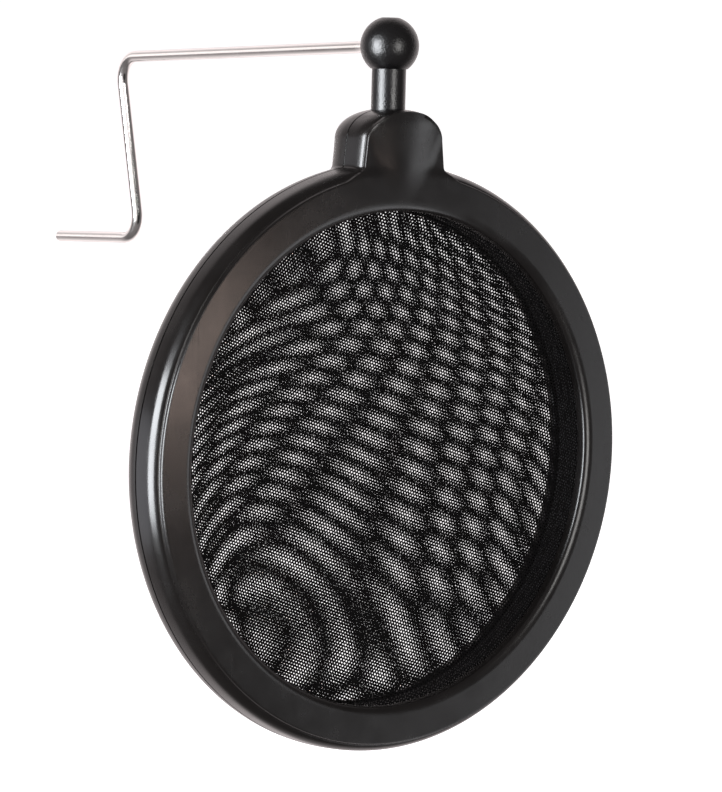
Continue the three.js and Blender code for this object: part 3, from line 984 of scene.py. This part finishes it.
def light_only(lamp, *things):
    """Keeps a lamp's light on those objects."""
    receivers = bpy.data.collections.new(lamp.name + "_receivers")
    for thing in things:
        receivers.objects.link(thing)
    lamp.light_linking.receiver_collection = receivers


def finished(thing, body, node, finish):
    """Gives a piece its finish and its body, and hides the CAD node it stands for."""
    finish.wear(thing)
    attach(thing, body)
    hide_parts(node)
    return thing


def finishes():
    """Every finish of the object by its name."""
    made = [
        dark_plastic("shell_plastic", (0.0028, 0.0023, 0.0021), (0.0048, 0.004, 0.0037), 0.24),
        dark_plastic(
            "ball_plastic", (0.002, 0.0018, 0.002), (0.0035, 0.0032, 0.0034), 0.27, 9e-5, 1500
        ),
        dark_plastic(
            "stem_gloss", (0.003, 0.0026, 0.003), (0.005, 0.0045, 0.005), 0.28, 7e-5, 1800
        ),
        dark_plastic("hoop_plastic", (0.004, 0.0038, 0.004), (0.007, 0.0067, 0.007), 0.5),
        # the rod's rim colour is painted shade, darker where the steel turns away from the viewer
        bright_metal(
            "rod_steel", (0.9, 0.88, 0.87), 0.17, brushing=(1, 0.02, 0.3), rim=(0.16, 0.15, 0.15)
        ),
        bright_metal(
            "screw_steel", (0.35, 0.35, 0.35), 0.35, brushing=(1, 1, 1), tarnish=(0.2, 0.2, 0.2)
        ),
        bright_metal(
            "insert_brass", (0.75, 0.55, 0.25), 0.3, brushing=(1, 1, 1), tarnish=(0.55, 0.38, 0.15)
        ),
        dark_plastic("seal_rubber", (0.02, 0.02, 0.02), (0.03, 0.03, 0.03), 0.6),
        net_cloth("mesh_cloth", (0.002, 0.0018, 0.0019), (0.005, 0.0046, 0.005)),
    ]
    return {finish.name: finish for finish in made}


def both_shells(finish):
    front = shell("front_half", -1, FRONT_SHOULDER, TAB_SIDE_INSET, TAB_TOP_INSET)
    cut(front, stem_pocket())
    finished(front, "screen", "front_shell", finish)
    rear = shell("rear_half", 1, REAR_SHOULDER, REAR_TAB_INSET, REAR_TAB_INSET)
    cut(rear, stem_pocket())
    for x, z in screw_places().values():
        hole = [
            (0, COUNTERBORE_FLOOR),
            (COUNTERBORE_RADIUS, COUNTERBORE_FLOOR),
            (COUNTERBORE_RADIUS, ABOVE_SHELL),
            (0, ABOVE_SHELL),
        ]
        cut(rear, turned("hole", hole, about_y(x, z), 40))
    finished(rear, "screen", "rear_shell", finish)
    return front, rear


def hoops(finish):
    """The two hoops that clamp the nets, and the spacer between them."""
    places = {
        "front_hoop": (-HOOP_FAR, -HOOP_NEAR),
        "spacer_ring": (-SPACER_HALF, SPACER_HALF),
        "rear_hoop": (HOOP_NEAR, HOOP_FAR),
    }
    edge = HOOP_BEVEL
    for name, (low, high) in places.items():
        profile = [
            (HOOP_INNER + edge, low), (CLOTH_RADIUS - edge, low), (CLOTH_RADIUS, low + edge),
            (CLOTH_RADIUS, high - edge), (CLOTH_RADIUS - edge, high), (HOOP_INNER + edge, high),
            (HOOP_INNER, high - edge), (HOOP_INNER, low + edge),
        ]
        ring = turned(name + "_body", profile, about_y(0, 0), 240)
        finished(ring, "screen", name, finish)


def nets(finish):
    layers = {
        "front_mesh": (-CLOTH_DEPTH, 1, None),
        "rear_mesh": (CLOTH_DEPTH, 2, pulled),
    }
    for name, (depth, seed, shape) in layers.items():
        layer = net(name + "_net", depth, seed, shape)
        finished(layer, "screen", name, finish)


def paper():
    """The white sweep under and behind the object."""
    white = Finish(
        "paper", (0.86, 0.86, 0.87), 0.7, Emission_Color=(1, 1, 1, 1), Emission_Strength=PAPER_GLOW
    )
    white.feed(
        white.blend(white.noise(6, 3), (0.85, 0.85, 0.86), (0.88, 0.88, 0.89)),
        white.shader.inputs["Base Color"],
    )
    sweep = paper_sweep()
    white.wear(sweep)


def lamps(front, rear, wire):
    softbox("key", -88, 2, 1.3, 0.8, 1.1, KEY_POWER, (0.93, 0.96, 1))
    softbox("fill", -3, 2, 1.5, 0.5, 0.8, FILL_POWER, (1, 0.98, 0.96))
    side = softbox("side", 50, -23, 2.0, 0.5, 1.8, SIDE_POWER, (0.96, 0.97, 1))
    light_only(side, front, rear)
    rim = softbox("rim", -130, -8, 1.5, 0.9, 0.9, RIM_POWER, (0.9, 0.92, 1))
    light_only(rim, front, rear)
    light_only(glow_spot(), front)
    rod_front = softbox("rod_front", -50, 0, 1.6, 3.4, 2.4, ROD_FRONT_POWER, (1, 0.97, 0.96))
    light_only(rod_front, wire)
    rod_rear = softbox("rod_rear", -142, 10, 2.0, 0.9, 0.9, ROD_REAR_POWER, (1, 0.95, 0.93))
    light_only(rod_rear, wire)


def room():
    """Soft light from all round: dark at the camera's side, bright behind the object."""
    world = bpy.data.worlds.new("studio")
    bpy.context.scene.world = world
    world.use_nodes = True
    tree = world.node_tree
    background = tree.nodes["Background"]
    towards = tree.nodes.new("ShaderNodeTexCoord").outputs["Generated"]
    facing = tree.nodes.new("ShaderNodeVectorMath")
    facing.operation = "DOT_PRODUCT"
    facing.inputs[1].default_value = REARWARD
    tree.links.new(towards, facing.inputs[0])
    half = tree.nodes.new("ShaderNodeMapRange")
    half.inputs["From Min"].default_value = -1
    tree.links.new(facing.outputs["Value"], half.inputs["Value"])
    ramp = tree.nodes.new("ShaderNodeValToRGB")
    stops = ramp.color_ramp.elements
    while len(stops) < len(ROOM):
        stops.new(0.5)
    for stop, (rearward, grey) in zip(stops, ROOM):
        stop.position = (rearward + 1) / 2
        stop.color = (*(grey * tint for tint in ROOM_TINT), 1)
    tree.links.new(half.outputs["Result"], ramp.inputs["Fac"])
    tree.links.new(ramp.outputs["Color"], background.inputs["Color"])
    background.inputs["Strength"].default_value = 1.0
    bpy.context.scene.view_settings.view_transform = "Standard"


# Where the camera stands in the frame, in metres, and how it is turned, in degrees. A separate program
# fitted these numbers to the outlines in the photograph.
CAMERA_PLACE = (-0.621923, -0.947457, 0.048608)
CAMERA_YAW = 37.873  # from +Y towards +X
CAMERA_PITCH = -4.763
CAMERA_ROLL = 1.47
CAMERA_LENS = 189.38


def camera():
    lens = bpy.data.cameras.new("camera")
    lens.sensor_fit = "HORIZONTAL"
    lens.sensor_width = 36
    lens.lens = CAMERA_LENS
    lens.clip_start = 0.05
    lens.clip_end = 50
    holder = bpy.data.objects.new("camera", lens)
    bpy.context.scene.collection.objects.link(holder)
    yaw, pitch, roll = (math.radians(a) for a in (CAMERA_YAW, CAMERA_PITCH, CAMERA_ROLL))
    level = Vector((math.sin(yaw), math.cos(yaw), 0)) * math.cos(pitch)
    ahead = level + Vector((0, 0, math.sin(pitch)))
    flat_right = ahead.cross(Vector((0, 0, 1))).normalized()
    flat_up = flat_right.cross(ahead)
    right = math.cos(roll) * flat_right + math.sin(roll) * flat_up
    up = math.cos(roll) * flat_up - math.sin(roll) * flat_right
    matrix = Matrix((right, up, -ahead)).transposed().to_4x4()
    matrix.translation = Vector(CAMERA_PLACE)
    holder.matrix_world = matrix
    bpy.context.scene.camera = holder


def main():
    finish = finishes()
    front, rear = both_shells(finish["shell_plastic"])
    for name, (x, z) in screw_places().items():
        thing = screw(name + "_body", x, z)
        finished(thing, "screen", name, finish["screw_steel"])
    hoops(finish["hoop_plastic"])
    nets(finish["mesh_cloth"])
    wire = finished(rod(), "arm", "rod", finish["rod_steel"])
    finished(ball(), "ball_unit", "ball", finish["ball_plastic"])
    finished(stem(), "ball_unit", "stem", finish["stem_gloss"])

    # the hidden pieces keep their CAD meshes
    worn = {
        "ball_insert": "insert_brass",
        "ball_screw": "screw_steel",
        "washer_upper": "hoop_plastic",
        "washer_lower": "hoop_plastic",
        "neck_seal": "seal_rubber",
    }
    for name, finish_name in worn.items():
        finish[finish_name].wear(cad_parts[name])

    paper()
    lamps(front, rear, wire)
    room()
    camera()


main()
